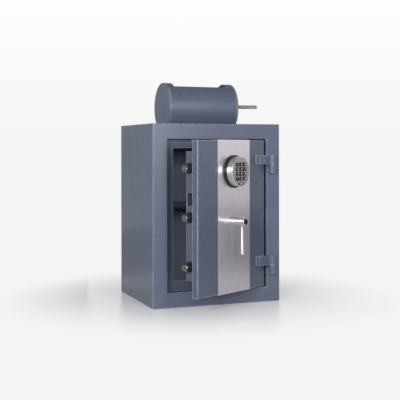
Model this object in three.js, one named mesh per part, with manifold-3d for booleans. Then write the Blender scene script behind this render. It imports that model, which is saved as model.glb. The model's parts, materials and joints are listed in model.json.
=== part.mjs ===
import * as THREE from "three";
import { mergeVertices } from "three/addons/utils/BufferGeometryUtils.js";
import Module from "manifold-3d";

const wasm = await Module();
wasm.setup();

// Safe body: x to the right, y to the back, z up, origin under the middle of the body
const bodyWidth = 376;
const bodyDepth = 314;
const bodyHeight = 500;
const plateThickness = 6;
const weldGap = 0.3;
const frameRounding = 1.5;
const frameSide = 40;
const frameRail = 41.5;

// Door opening: a sleeve behind the frame, a lip that the door shuts against, a strike for the bolts
const sleeveThickness = 4;
const doorLipGap = 2.5;
const lipThickness = 6;
const lipWidth = 26;
const lipWidthBelow = 28.5;
const strikeWidth = 19;
const strikeBoltGap = 1.2;
const strikeWall = 3;
const strikeOverrun = 25;

// Shelf on two angles
const shelfBoxGap = 5.5;
const shelfTop = 269.5;
const shelfThickness = 2;
const shelfLip = 8.5;
const shelfWallGap = 0.5;
const angleLeg = 20;
const angleThickness = 3;
const angleInset = 12;

// Anchor holes in the floor
const anchorRadius = 6.5;
const anchorFromSide = 68;
const anchorFromEnd = 70;

// Deposit drum on the roof
const drumBackFromFront = 170;
const drumRise = 51;
const drumRadius = 71.5;
const drumWall = 4;
const drumLength = 212.5;
const drumEndThickness = 5;
const drumEndRounding = 1.5;
const drumSpigotWall = 5;
const drumSpigotDepth = 7.5;
const drumCollar = 24;
const windowHalfAngle = THREE.MathUtils.degToRad(33);
const chuteHalfAngle = THREE.MathUtils.degToRad(36);
const roofSlotGap = 0.5;
const rotorRise = 5;
const rotorGap = 0.9;
const rotorWall = 3;
const rotorEndGap = 1.45;
const rotorDiscThickness = 4;
const pocketHalfWidth = 33.5;
const pocketWall = 2.5;
const pocketFloorDrop = 8;
const rodRadius = 5.2;
const rodReach = 90.25;
const rodTipRounding = 2.5;
const rodTipShare = 0.3;
const stubRadius = 3;
const bushWall = 2.7;
const bushFlange = 5;
const bushFlangeThickness = 2.5;

// Two toothed baffles under the roof, beside the drum
const baffleWidth = 236;
const baffleHeight = 56;
const baffleThickness = 3;
const baffleTilt = THREE.MathUtils.degToRad(24);
const baffleClear = 5;
const baffleTeeth = 12;
const baffleToothHeight = 10;

// Door: a folded pan with a back plate, hung on two pins in front of the frame, drawn ajar
const doorAjar = THREE.MathUtils.degToRad(28.7);
const hingeFromRight = 28;
const hingeProud = 11;
const doorFreeGap = 3;
const doorHingeGap = 4.5;
const doorRailGap = 4.5;
const doorRecess = 4.5;
const doorThickness = 19;
const doorWall = 3;
const doorRounding = 2.2;
const bandFreeShare = 0.2808;
const bandHingeShare = 0.2409;
const bandThickness = 1;

// Hinges: a welded knuckle below, an arm on the door above, one pin through both
const knuckleRadius = 9.5;
const knuckleHeight = 25;
const lowerKnuckleRise = 33.5;
const upperKnuckleDrop = 92;
const knuckleFootWidth = 12;
const knuckleFloor = 2.2;
const pinRadius = 4.5;
const armProud = 12;
const armOnDoor = 38.75;
const armHeight = 25.5;
const armStepProud = 1.3;
const armLift = 0.4;

// Bolt work: a cover box with three bolts on a bar that a pinion and rack drive
const boxFreeShare = 0.2426;
const boxHingeShare = 0.2305;
const boxEndInset = 30;
const boxDepth = 80.9;
const boxWall = 2;
const boxSlotAboveBolt = 31;
const boxSlotHeight = 35;
const boxSlotWidth = 17;
const boxSlotFromBack = 2;
const boltRadius = 10;
const boltBackGap = 2;
const boltProud = 25;
const boltLipGap = 3;
const boltChamfer = 1.2;
const boltFromBottom = 67.5;
const boltFromTop = 75.5;
const barLead = 4.9;
const barThickness = 8;
const barWidth = 22;
const barOverhang = 18;
const barBoxGap = 2;
const guideWall = 2.7;
const guideOut = 3;
const guideIn = 5;
const toothModule = 3.2;
const pinionTeeth = 16;
const pinionBackFromBar = 12;
const gearWidth = 10;
const addendumShare = 0.8;
const dedendumShare = 1.25;
const toothTipShare = 0.12;
const toothRootShare = 0.3;
const rackTeethBefore = 2;
const rackTeethAfter = 5;
const rackBack = 8;

// Lock case with the tongue that blocks the bar
const lockInset = 5;
const lockWidth = 76;
const lockFromTop = 24;
const lockHeight = 62;
const lockDepth = 43;
const tongueWidth = 8;
const tongueHeight = 16;
const tongueLength = 22;
const tongueProud = 6;
const tongueRise = 7;
const tongueClear = 0.7;

// Keypad, turned about an axis square to the door
const keypadShare = 0.513;
const keypadFromTop = 83.9;
const keypadBaseRadius = 44;
const keypadBaseTop = 8;
const keypadBaseChamfer = 1.5;
const bezelRadius = 39.9;
const bezelChamfer = 0.8;
const bezelInnerRadius = 38;
const keypadFaceTop = 26;
const keypadFaceThickness = 3;
const matSideGap = 2;
const matFaceGap = 3.2;
const keyHalfWidth = 5.3;
const keyHalfHeight = 5.1;
const keyCorner = 1.6;
const keyChamfer = 0.6;
const keyTravel = 1.2;
const keyRestGap = 0.4;
const keyProud = 2.2;
const keyPitchAcross = 15.5;
const keyPitchDown = 12.6;
const keyColumns = 3;
const keyRows = 4;
const keyGap = 0.4;
const ovalHalfWidth = 13;
const ovalHalfHeight = 4.5;
const ovalDrop = 32.6;
const ovalProud = 0.8;
const cableRadius = 2.5;
const cableHoleRadius = 5;

// Handle: a hub with a ring on a spindle, a lever hanging from it, a cap on its end
const handleShift = 4.2;
const handleDrop = 132.8;
const hubRadius = 13.3;
const hubTop = 36;
const hubChamfer = 1.2;
const hubRingRadius = 11.2;
const hubRingTop = 44.5;
const leverTopHeight = 33.3;
const leverTopHalfWidth = 4.3;
const leverEndHalfWidth = 6.6;
const leverThicknessShare = 0.55;
const leverLength = 75;
const leverSweep = 4;
const capRadius = 8.8;
const capHeight = 1.7;
const capSides = 8;
const spindleRadius = 6;
const spindleHoleRadius = 8;
const spindleTop = 31;

// Facets
const roundSegments = 48;
const smallSegments = 24;
const cableSegments = 18;
const cornerSteps = 3;
const sectorSteps = 12;
const roundingSteps = 3;
const leverSegments = 20;
const mergeTolerance = 1e-4;
const cutMargin = 20;

// Places that follow from the dimensions
const halfTurn = Math.PI;
const quarterTurn = Math.PI / 2;
const frontFace = -bodyDepth / 2;
const backFace = bodyDepth / 2;
const leftFace = -bodyWidth / 2;
const rightFace = bodyWidth / 2;
const openLeft = leftFace + frameSide;
const openRight = rightFace - frameSide;
const openBottom = frameRail;
const openTop = bodyHeight - frameRail;
const insideFront = frontFace + plateThickness + weldGap;
const insideBack = backFace - plateThickness - weldGap;
const doorFace = frontFace + doorRecess;
const doorBack = doorFace + doorThickness;
const doorLeft = openLeft + doorFreeGap;
const doorRight = openRight - doorHingeGap;
const doorBottom = openBottom + doorRailGap;
const doorTop = openTop - doorRailGap;
const lipFront = doorBack + doorLipGap;
const lipBack = lipFront + lipThickness;
const doorWidth = doorRight - doorLeft;
const boxRight = doorRight - doorWidth * boxHingeShare;
const boxBottom = doorBottom + boxEndInset;
const boxTop = doorTop - boxEndInset;
const boxFront = doorBack + weldGap;
const boxBack = boxFront + boxDepth;
const boltAxis = boxBack - boxWall - boltBackGap - boltRadius;
const boltLowest = doorBottom + boltFromBottom;
const boltHighest = doorTop - boltFromTop;
const boltMiddle = (boltLowest + boltHighest) / 2;
const boltHeights = [boltLowest, boltMiddle, boltHighest];
const hingeX = rightFace - hingeFromRight;
const hingeY = frontFace - hingeProud;
const drumY = frontFace + drumBackFromFront;
const drumAxisHeight = bodyHeight + drumRise;
const rotorAxisHeight = drumAxisHeight + rotorRise;
const drumEnd = drumLength / 2;
const drumInside = drumEnd - drumEndThickness;
const keypadX = doorLeft + doorWidth * keypadShare;
const keypadHeight = doorTop - keypadFromTop;
const handleX = keypadX - handleShift;
const handleHeight = keypadHeight - handleDrop;
const pitchRadius = toothModule * pinionTeeth / 2;
const toothPitch = Math.PI * toothModule;
const throwLength = pitchRadius * quarterTurn;
const rackStart = handleX - toothPitch * rackTeethBefore;
const barLeft = rackStart - barLead;
const barRight = barLeft + barThickness;
const boxLeft = Math.min(
  doorLeft + doorWidth * boxFreeShare, barLeft - throwLength - barBoxGap - boxWall,
);
const boltTip = Math.max(boxLeft - boltProud, openLeft + lipWidth + boltLipGap);

// Colours and finishes
const paint = { color: 0x5a6070, roughness: 0.45, metalness: 0.2 };
const darkPaint = { color: 0x3f4452, roughness: 0.6, metalness: 0.2 };
const brushed = { color: 0xb8b4ba, roughness: 0.35, metalness: 0.9 };
const polished = { color: 0xd8d8dc, roughness: 0.12, metalness: 1 };
const zinc = { color: 0x9a9a96, roughness: 0.4, metalness: 0.8 };
const blackPlastic = { color: 0x15151a, roughness: 0.5, metalness: 0 };
const rubber = { color: 0x202024, roughness: 0.9, metalness: 0 };

// Solids and meshes
function toSolid(geometry) {
  const plain = geometry.index ? geometry.toNonIndexed() : geometry.clone();
  plain.deleteAttribute("normal");
  plain.deleteAttribute("uv");
  const merged = mergeVertices(plain, mergeTolerance);
  const corners = merged.index.array;
  const kept = [];
  for (let i = 0; i < corners.length; i += 3) {
    const [a, b, c] = [corners[i], corners[i + 1], corners[i + 2]];
    if (a !== b && b !== c && c !== a) {
      kept.push(a, b, c);
    }
  }
  return new wasm.Manifold(new wasm.Mesh({
    numProp: 3,
    vertProperties: merged.attributes.position.array,
    triVerts: new Uint32Array(kept),
  }));
}

function toGeometry(solid) {
  const mesh = solid.getMesh();
  const geometry = new THREE.BufferGeometry();
  geometry.setAttribute("position", new THREE.BufferAttribute(mesh.vertProperties, 3));
  geometry.setIndex(new THREE.BufferAttribute(mesh.triVerts, 1));
  geometry.computeVertexNormals();
  return geometry;
}

function joined(...solids) {
  return solids.reduce((all, one) => all.add(one));
}

function cut(solid, ...tools) {
  return tools.reduce((left, tool) => left.subtract(tool), solid);
}

function piece(parent, name, solid, finish) {
  const mesh = new THREE.Mesh(toGeometry(solid), new THREE.MeshStandardMaterial(finish));
  mesh.name = name;
  parent.add(mesh);
}

// A block between two values on each axis
function block(x0, x1, y0, y1, z0, z1) {
  const geometry = new THREE.BoxGeometry(x1 - x0, y1 - y0, z1 - z0);
  geometry.translate((x0 + x1) / 2, (y0 + y1) / 2, (z0 + z1) / 2);
  return toSolid(geometry);
}

// Round bars along each axis
function barAlongX(radius, x0, x1, y, z, segments = smallSegments) {
  const geometry = new THREE.CylinderGeometry(radius, radius, x1 - x0, segments);
  geometry.rotateZ(quarterTurn).translate((x0 + x1) / 2, y, z);
  return toSolid(geometry);
}

function barAlongY(radius, y0, y1, x, z, segments = smallSegments) {
  const geometry = new THREE.CylinderGeometry(radius, radius, y1 - y0, segments);
  geometry.translate(x, (y0 + y1) / 2, z);
  return toSolid(geometry);
}

function barAlongZ(radius, z0, z1, x, y, segments = smallSegments) {
  const geometry = new THREE.CylinderGeometry(radius, radius, z1 - z0, segments);
  geometry.rotateX(quarterTurn).translate(x, y, (z0 + z1) / 2);
  return toSolid(geometry);
}

// A turned piece square to the door: profile points are radius and height over the door face
function turned(profile, x, z, segments) {
  const points = profile.map(([radius, height]) => new THREE.Vector2(radius, height));
  const geometry = new THREE.LatheGeometry(points, segments);
  geometry.rotateX(halfTurn).translate(x, doorFace, z);
  return toSolid(geometry);
}

// A pad with rounded corners square to the door, between two heights over the door face
function pad(halfWidth, halfHeight, corner, from, to, x, z, chamfer = 0) {
  const outline = new THREE.Shape();
  const [left, right] = [x - halfWidth + corner, x + halfWidth - corner];
  const [bottom, top] = [z - halfHeight + corner, z + halfHeight - corner];
  outline.absarc(right, bottom, corner, -quarterTurn, 0, false);
  outline.absarc(right, top, corner, 0, quarterTurn, false);
  outline.absarc(left, top, corner, quarterTurn, halfTurn, false);
  outline.absarc(left, bottom, corner, halfTurn, halfTurn + quarterTurn, false);
  const geometry = new THREE.ExtrudeGeometry(outline, {
    depth: to - from - 2 * chamfer,
    curveSegments: cornerSteps,
    bevelEnabled: chamfer > 0,
    bevelThickness: chamfer,
    bevelSize: chamfer,
    bevelOffset: -chamfer,
    bevelSegments: 1,
  });
  geometry.rotateX(quarterTurn).translate(0, doorFace - from - chamfer, 0);
  return toSolid(geometry);
}

// A rectangle on the front plane pushed towards the back, with its outer edges rounded
function roundedSlab(x0, x1, z0, z1, y0, y1, rounding, hole) {
  const outline = new THREE.Shape();
  outline.moveTo(x0, -z0);
  outline.lineTo(x0, -z1);
  outline.lineTo(x1, -z1);
  outline.lineTo(x1, -z0);
  outline.closePath();
  if (hole) {
    const inner = new THREE.Path();
    inner.moveTo(hole.x0, -hole.z0);
    inner.lineTo(hole.x1, -hole.z0);
    inner.lineTo(hole.x1, -hole.z1);
    inner.lineTo(hole.x0, -hole.z1);
    inner.closePath();
    outline.holes.push(inner);
  }
  const geometry = new THREE.ExtrudeGeometry(outline, {
    depth: y1 - y0 - 2 * rounding,
    bevelEnabled: true,
    bevelThickness: rounding,
    bevelSize: rounding,
    bevelOffset: -rounding,
    bevelSegments: roundingSteps,
  });
  geometry.rotateX(-quarterTurn).translate(0, y0 + rounding, 0);
  return toSolid(geometry);
}

// A flat outline in y and z pushed along x
function alongX(points, x0, x1) {
  const outline = new THREE.Shape(points.map(([y, z]) => new THREE.Vector2(y, z)));
  const geometry = new THREE.ExtrudeGeometry(outline, { depth: x1 - x0, bevelEnabled: false });
  geometry.rotateX(quarterTurn).rotateZ(quarterTurn).translate(x0, 0, 0);
  return toSolid(geometry);
}

// A flat outline in x and z pushed along y
function alongY(points, y0, y1) {
  const outline = new THREE.Shape(points.map(([x, z]) => new THREE.Vector2(x, z)));
  const geometry = new THREE.ExtrudeGeometry(outline, { depth: y1 - y0, bevelEnabled: false });
  geometry.rotateX(quarterTurn).translate(0, y1, 0);
  return toSolid(geometry);
}

const safe = new THREE.Group();
safe.name = "drum_drop_safe";

// Front frame, sleeve and lip around the door opening
piece(safe, "front_frame", roundedSlab(
  leftFace, rightFace, 0, bodyHeight, frontFace, frontFace + plateThickness, frameRounding,
  { x0: openLeft, x1: openRight, z0: openBottom, z1: openTop },
), paint);

const sleeve = cut(
  block(openLeft - sleeveThickness, openRight + sleeveThickness, insideFront, lipBack,
    openBottom - sleeveThickness, openTop + sleeveThickness),
  block(openLeft, openRight, insideFront - cutMargin, lipBack + cutMargin, openBottom, openTop),
);
const lip = cut(
  block(openLeft - sleeveThickness, openRight + sleeveThickness, lipFront, lipBack,
    openBottom - sleeveThickness, openTop + sleeveThickness),
  block(openLeft + lipWidth, openRight - lipWidth, lipFront - cutMargin, lipBack + cutMargin,
    openBottom + lipWidthBelow, openTop - lipWidth),
);
piece(safe, "door_jamb", joined(sleeve, lip), paint);

const strikeRight = openLeft + lipWidth;
const strikeFront = lipBack + weldGap;
const strikeBack = boltAxis - boltRadius - strikeBoltGap;
const strikeBottom = boltLowest - strikeOverrun;
const strikeTop = boltHighest + strikeOverrun;
const strike = cut(
  block(strikeRight - strikeWidth, strikeRight, strikeFront, strikeBack, strikeBottom, strikeTop),
  block(strikeRight - strikeWidth + strikeWall, strikeRight - strikeWall, strikeFront - cutMargin,
    strikeBack - strikeWall, strikeBottom - cutMargin, strikeTop + cutMargin),
);
piece(safe, "strike_channel", strike, darkPaint);

// Walls, roof, floor and back
const wallBottom = plateThickness + weldGap;
const wallTop = bodyHeight - plateThickness - weldGap;
piece(safe, "wall_left", block(
  leftFace, leftFace + plateThickness, insideFront, insideBack, wallBottom, wallTop,
), paint);
piece(safe, "wall_right", block(
  rightFace - plateThickness, rightFace, insideFront, insideBack, wallBottom, wallTop,
), paint);
piece(safe, "back_plate", roundedSlab(
  leftFace, rightFace, 0, bodyHeight, backFace - plateThickness, backFace, frameRounding,
), paint);

const roofBottom = bodyHeight - plateThickness;
const slotHalf = Math.sqrt(drumRadius ** 2 - drumRise ** 2) + roofSlotGap;
piece(safe, "roof_plate", cut(
  block(leftFace, rightFace, insideFront, insideBack, roofBottom, bodyHeight),
  block(-drumEnd - roofSlotGap, drumEnd + roofSlotGap, drumY - slotHalf, drumY + slotHalf,
    roofBottom - cutMargin, bodyHeight + cutMargin),
), paint);

let floor = block(leftFace, rightFace, insideFront, insideBack, 0, plateThickness);
for (const side of [leftFace + anchorFromSide, rightFace - anchorFromSide]) {
  for (const end of [frontFace + anchorFromEnd, backFace - anchorFromEnd]) {
    floor = cut(floor, barAlongZ(anchorRadius, -cutMargin, cutMargin, side, end));
  }
}
piece(safe, "floor_plate", floor, paint);

// Shelf with a folded front edge, on an angle along each wall
const shelfFront = boxBack + shelfBoxGap;
const shelfLeft = leftFace + plateThickness + shelfWallGap;
const shelfRight = -shelfLeft;
const shelfUnder = shelfTop - shelfThickness;
piece(safe, "shelf", joined(
  block(shelfLeft, shelfRight, shelfFront, insideBack - shelfWallGap, shelfUnder, shelfTop),
  block(shelfLeft, shelfRight, shelfFront, shelfFront + shelfThickness, shelfTop - shelfLip, shelfTop),
), darkPaint);

const angleTop = shelfUnder - weldGap;
const angleSides = { left: -1, right: 1 };
for (const [name, side] of Object.entries(angleSides)) {
  const wallSide = side * (rightFace - plateThickness - weldGap);
  const legEnd = wallSide - side * angleLeg;
  const webEnd = wallSide - side * angleThickness;
  const [front, back] = [shelfFront + angleInset, insideBack - angleInset];
  piece(safe, `shelf_bracket_${name}`, joined(
    block(Math.min(wallSide, legEnd), Math.max(wallSide, legEnd), front, back,
      angleTop - angleThickness, angleTop),
    block(Math.min(wallSide, webEnd), Math.max(wallSide, webEnd), front, back,
      angleTop - angleLeg, angleTop),
  ), darkPaint);
}

// Deposit drum housing: a tube with a deposit window on top and a drop opening below
function sector(halfAngle, upwards, halfLength) {
  const reach = drumRadius * 2;
  const points = [[drumY, drumAxisHeight]];
  for (let step = 0; step <= sectorSteps; step += 1) {
    const angle = halfAngle * (2 * step / sectorSteps - 1);
    points.push([drumY + reach * Math.sin(angle), drumAxisHeight + upwards * reach * Math.cos(angle)]);
  }
  return alongX(points, -halfLength, halfLength);
}
const drumInner = drumRadius - drumWall;
const tubeEnd = drumInside - weldGap;
const windowHalf = drumEnd - drumCollar;
piece(safe, "drum_housing", cut(
  barAlongX(drumRadius, -tubeEnd, tubeEnd, drumY, drumAxisHeight, roundSegments),
  barAlongX(drumInner, -drumEnd, drumEnd, drumY, drumAxisHeight, roundSegments),
  sector(windowHalfAngle, 1, windowHalf),
  sector(chuteHalfAngle, -1, windowHalf),
), paint);

// End plates with a spigot inside the tube; the right one carries the bush of the rod
function drumEndPlate(side, boreRadius) {
  const profile = [
    [0, drumInside - drumSpigotDepth],
    [drumInner - weldGap, drumInside - drumSpigotDepth],
    [drumInner - weldGap, drumInside],
    [drumRadius, drumInside],
    [drumRadius, drumEnd - drumEndRounding],
    [drumRadius - drumEndRounding, drumEnd],
    [0, drumEnd],
  ];
  const points = profile.map(([radius, height]) => new THREE.Vector2(radius, height));
  const geometry = new THREE.LatheGeometry(points, roundSegments);
  geometry.rotateZ(-side * quarterTurn).translate(0, drumY, drumAxisHeight);
  const spigotFrom = drumInside - drumSpigotDepth - cutMargin;
  const hollow = [side * spigotFrom, side * drumInside].sort((a, b) => a - b);
  const bore = [side * spigotFrom, side * (drumEnd + cutMargin)].sort((a, b) => a - b);
  return cut(
    toSolid(geometry),
    barAlongX(drumInner - weldGap - drumSpigotWall, hollow[0], hollow[1], drumY, drumAxisHeight,
      roundSegments),
    barAlongX(boreRadius, bore[0], bore[1], drumY, rotorAxisHeight),
  );
}
const bushRadius = rodRadius + weldGap + bushWall;
piece(safe, "drum_end_left", drumEndPlate(-1, stubRadius + weldGap), paint);
piece(safe, "drum_end_right", drumEndPlate(1, bushRadius + weldGap), paint);
piece(safe, "drum_bush", cut(
  joined(
    barAlongX(bushRadius, drumInside, drumEnd + bushFlangeThickness, drumY, rotorAxisHeight),
    barAlongX(bushRadius + bushFlange, drumEnd + weldGap, drumEnd + bushFlangeThickness, drumY,
      rotorAxisHeight),
  ),
  barAlongX(rodRadius + weldGap, drumInside - cutMargin, drumEnd + cutMargin, drumY, rotorAxisHeight),
), zinc);

// Toothed baffles sloping in under the drum
function baffle(side) {
  const half = baffleWidth / 2;
  const points = [[-half, 0]];
  for (let tooth = 0; tooth < baffleTeeth; tooth += 1) {
    const from = -half + tooth * baffleWidth / baffleTeeth;
    const middle = from + baffleWidth / baffleTeeth / 2;
    points.push([from, -baffleHeight + baffleToothHeight]);
    points.push([middle, -baffleHeight]);
  }
  points.push([half, -baffleHeight + baffleToothHeight]);
  points.push([half, 0]);
  const outline = new THREE.Shape(points.map(([x, z]) => new THREE.Vector2(x, z)));
  const geometry = new THREE.ExtrudeGeometry(outline, { depth: baffleThickness, bevelEnabled: false });
  geometry.rotateX(quarterTurn).rotateX(-side * baffleTilt);
  geometry.computeBoundingBox();
  const reach = side > 0 ? slotHalf + baffleClear : -slotHalf - baffleClear;
  const under = roofBottom - weldGap - geometry.boundingBox.max.z;
  geometry.translate(0, drumY + reach, under);
  return toSolid(geometry);
}
piece(safe, "baffle_front", baffle(-1), darkPaint);
piece(safe, "baffle_rear", baffle(1), darkPaint);

// Fixed hinge knuckles and their pins
const pinTop = armHeight - knuckleFloor;
const hingePlaces = {
  lower: doorBottom + lowerKnuckleRise,
  upper: doorTop - upperKnuckleDrop,
};
for (const [name, bottom] of Object.entries(hingePlaces)) {
  const top = bottom + knuckleHeight;
  piece(safe, `hinge_knuckle_${name}`, cut(
    joined(
      barAlongZ(knuckleRadius, bottom, top, hingeX, hingeY),
      block(hingeX - knuckleFootWidth / 2, hingeX + knuckleFootWidth / 2, hingeY,
        frontFace - weldGap, bottom, top),
    ),
    barAlongZ(pinRadius + weldGap, bottom + knuckleFloor, top + cutMargin, hingeX, hingeY),
  ), paint);
  piece(safe, `hinge_pin_${name}`, barAlongZ(
    pinRadius, bottom + knuckleFloor + weldGap, top + armLift + pinTop - weldGap, hingeX, hingeY,
  ), zinc);
}

// Rotor of the deposit drum: a drum shell with a trough across it, open upwards at rest
const rotorRadius = drumInner - rotorRise - rotorGap;
const discTo = drumInside - drumSpigotDepth - rotorEndGap;
const discFrom = discTo - rotorDiscThickness;
const rotorHalfLength = discFrom - weldGap;
function trough(halfWidth) {
  return joined(
    block(-rotorHalfLength - cutMargin, rotorHalfLength + cutMargin, drumY - halfWidth,
      drumY + halfWidth, rotorAxisHeight - pocketFloorDrop, rotorAxisHeight + drumRadius),
    barAlongX(halfWidth, -rotorHalfLength - cutMargin, rotorHalfLength + cutMargin, drumY,
      rotorAxisHeight - pocketFloorDrop, roundSegments),
  );
}
const rotorBlank = barAlongX(rotorRadius, -rotorHalfLength, rotorHalfLength, drumY, rotorAxisHeight,
  roundSegments);
const rotorShell = cut(rotorBlank, barAlongX(
  rotorRadius - rotorWall, -drumEnd, drumEnd, drumY, rotorAxisHeight, roundSegments,
));
const rotorTrough = rotorBlank.intersect(trough(pocketHalfWidth + pocketWall));
piece(safe, "drum_rotor", cut(joined(rotorShell, rotorTrough), trough(pocketHalfWidth)), darkPaint);

const discBores = { left: stubRadius, right: rodRadius };
for (const [name, radius] of Object.entries(discBores)) {
  const [from, to] = name === "left" ? [-discTo, -discFrom] : [discFrom, discTo];
  piece(safe, `rotor_disc_${name}`, cut(
    barAlongX(rotorRadius, from, to, drumY, rotorAxisHeight, roundSegments),
    barAlongX(radius + weldGap, from - cutMargin, to + cutMargin, drumY, rotorAxisHeight),
  ), darkPaint);
}
piece(safe, "drum_stub", barAlongX(stubRadius, -drumEnd, -discFrom, drumY, rotorAxisHeight), zinc);
const rodTip = drumEnd + rodReach;
const rodProfile = [
  [0, discFrom],
  [rodRadius, discFrom],
  [rodRadius, rodTip - rodTipRounding],
  [rodRadius - rodTipRounding * rodTipShare, rodTip - rodTipRounding * rodTipShare],
  [rodRadius - rodTipRounding, rodTip],
  [0, rodTip],
].map(([radius, height]) => new THREE.Vector2(radius, height));
const rodGeometry = new THREE.LatheGeometry(rodProfile, smallSegments);
rodGeometry.rotateZ(-quarterTurn).translate(0, drumY, rotorAxisHeight);
piece(safe, "drum_rod", toSolid(rodGeometry), brushed);

// Door group: drawn shut, then swung about the hinge line
const hingeGroup = new THREE.Group();
hingeGroup.name = "door_on_hinge";
hingeGroup.position.set(hingeX, hingeY, 0);
hingeGroup.rotation.z = doorAjar;
safe.add(hingeGroup);
const door = new THREE.Group();
door.name = "door";
door.position.set(-hingeX, -hingeY, 0);
hingeGroup.add(door);

// Door pan and back plate
const panInside = doorFace + doorWall;
const spindleHole = barAlongY(spindleHoleRadius, doorFace - cutMargin, doorBack + cutMargin, handleX,
  handleHeight);
const cableHole = barAlongY(cableHoleRadius, doorFace - cutMargin, doorBack + cutMargin, keypadX,
  keypadHeight);
const panOutside = roundedSlab(doorLeft, doorRight, doorBottom, doorTop, doorFace,
  doorBack + doorThickness, doorRounding);
piece(door, "door_skin", cut(
  panOutside,
  block(doorLeft - cutMargin, doorRight + cutMargin, doorBack, doorBack + doorThickness + cutMargin,
    doorBottom - cutMargin, doorTop + cutMargin),
  block(doorLeft + doorWall, doorRight - doorWall, panInside, doorBack + cutMargin,
    doorBottom + doorWall, doorTop - doorWall),
  spindleHole,
  cableHole,
), paint);

piece(door, "door_back", cut(
  block(doorLeft + doorWall + weldGap, doorRight - doorWall - weldGap, doorBack - doorWall, doorBack,
    doorBottom + doorWall + weldGap, doorTop - doorWall - weldGap),
  spindleHole,
  cableHole,
), paint);

// Steel band down the front, folded over the top and bottom of the door
const bandLeft = doorLeft + doorWidth * bandFreeShare;
const bandRight = doorRight - doorWidth * bandHingeShare;
const bandFront = doorFace - weldGap - bandThickness;
const bandInner = block(bandLeft - cutMargin, bandRight + cutMargin, doorFace - weldGap,
  doorBack + cutMargin, doorBottom - weldGap, doorTop + weldGap);
piece(door, "steel_band", cut(
  block(bandLeft, bandRight, bandFront, doorBack, doorBottom - weldGap - bandThickness,
    doorTop + weldGap + bandThickness),
  bandInner,
  spindleHole,
  cableHole,
), brushed);

// Hinge arms: a block on the door face, stepped over the frame, ending in a knuckle
const armLeft = doorRight - armOnDoor;
const armFront = doorFace - armProud;
const stepBack = frontFace - armStepProud;
for (const [name, bottom] of Object.entries(hingePlaces)) {
  const from = bottom + knuckleHeight + armLift;
  const to = from + armHeight;
  piece(door, `hinge_arm_${name}`, cut(
    joined(
      block(armLeft, doorRight, armFront, doorFace - weldGap, from, to),
      block(armLeft, hingeX, armFront, stepBack, from, to),
      barAlongZ(knuckleRadius, from, to, hingeX, hingeY),
    ),
    barAlongZ(pinRadius + weldGap, from - cutMargin, to - knuckleFloor, hingeX, hingeY),
  ), paint);
}

// Cover box with a collar round each bolt
const slotBack = boxBack - boxWall - boxSlotFromBack;
const collarRadius = boltRadius + weldGap + guideWall;
const slotBottom = boltMiddle + boxSlotAboveBolt;
const collars = boltHeights.map((height) => barAlongX(
  collarRadius, boxLeft - guideOut, boxLeft + guideIn, boltAxis, height,
));
const boltHoles = boltHeights.map((height) => barAlongX(
  boltRadius + weldGap, boxLeft - cutMargin, boxLeft + cutMargin, boltAxis, height,
));
const boxShell = cut(
  block(boxLeft, boxRight, boxFront, boxBack, boxBottom, boxTop),
  block(boxLeft + boxWall, boxRight - boxWall, boxFront - cutMargin, boxBack - boxWall,
    boxBottom + boxWall, boxTop - boxWall),
  block(boxLeft - cutMargin, boxLeft + boxWall + cutMargin, slotBack - boxSlotWidth, slotBack,
    slotBottom, slotBottom + boxSlotHeight),
);
piece(door, "bolt_box", cut(joined(boxShell, ...collars), ...boltHoles), paint);

// Bolts, bar and rack, drawn back at rest
const barFront = boltAxis - barWidth / 2;
const boltNames = ["bolt_lower", "bolt_middle", "bolt_upper"];
boltNames.forEach((name, index) => {
  const points = [
    [0, 0],
    [boltRadius - boltChamfer, 0],
    [boltRadius, boltChamfer],
    [boltRadius, barLeft - weldGap - boltTip],
    [0, barLeft - weldGap - boltTip],
  ].map(([radius, run]) => new THREE.Vector2(radius, run));
  const geometry = new THREE.LatheGeometry(points, smallSegments);
  geometry.rotateZ(-quarterTurn).translate(boltTip, boltAxis, boltHeights[index]);
  piece(door, name, toSolid(geometry), polished);
});
piece(door, "bolt_bar", block(
  barLeft, barRight, barFront, barFront + barWidth,
  boltLowest - barOverhang, boltHighest + barOverhang,
), zinc);

const gearBack = barFront - pinionBackFromBar;
const gearFront = gearBack - gearWidth;
const addendum = toothModule * addendumShare;
const dedendum = toothModule * dedendumShare;
const pinionPoints = [];
for (let tooth = 0; tooth < pinionTeeth; tooth += 1) {
  const middle = quarterTurn + tooth * 2 * halfTurn / pinionTeeth;
  const rootRadius = pitchRadius - dedendum;
  const tipRadius = pitchRadius + addendum;
  const rootHalf = toothPitch * toothRootShare / rootRadius;
  const tipHalf = toothPitch * toothTipShare / tipRadius;
  const corners = [
    [rootRadius, -rootHalf],
    [tipRadius, -tipHalf],
    [tipRadius, tipHalf],
    [rootRadius, rootHalf],
  ];
  for (const [radius, turn] of corners) {
    pinionPoints.push([
      handleX + radius * Math.cos(middle + turn),
      handleHeight + radius * Math.sin(middle + turn),
    ]);
  }
}
const pitchLine = handleHeight + pitchRadius;
const rackTip = pitchLine - addendum;
const rackRoot = pitchLine + dedendum;
const rackEnd = handleX + toothPitch * rackTeethAfter;
const rackPoints = [];
for (let tooth = -rackTeethBefore; tooth < rackTeethAfter; tooth += 1) {
  const middle = handleX + toothPitch * (tooth + 1 / 2);
  rackPoints.push([middle - toothPitch * toothRootShare, rackRoot]);
  rackPoints.push([middle - toothPitch * toothTipShare, rackTip]);
  rackPoints.push([middle + toothPitch * toothTipShare, rackTip]);
  rackPoints.push([middle + toothPitch * toothRootShare, rackRoot]);
}
rackPoints.push([rackEnd, rackRoot], [rackEnd, rackRoot + rackBack]);
rackPoints.push([barLeft, rackRoot + rackBack], [barLeft, rackRoot]);
piece(door, "bolt_rack", joined(
  alongY(rackPoints, gearFront, gearBack),
  block(barLeft, barRight, gearFront, barFront - weldGap, rackRoot, rackRoot + rackBack),
), zinc);

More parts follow.
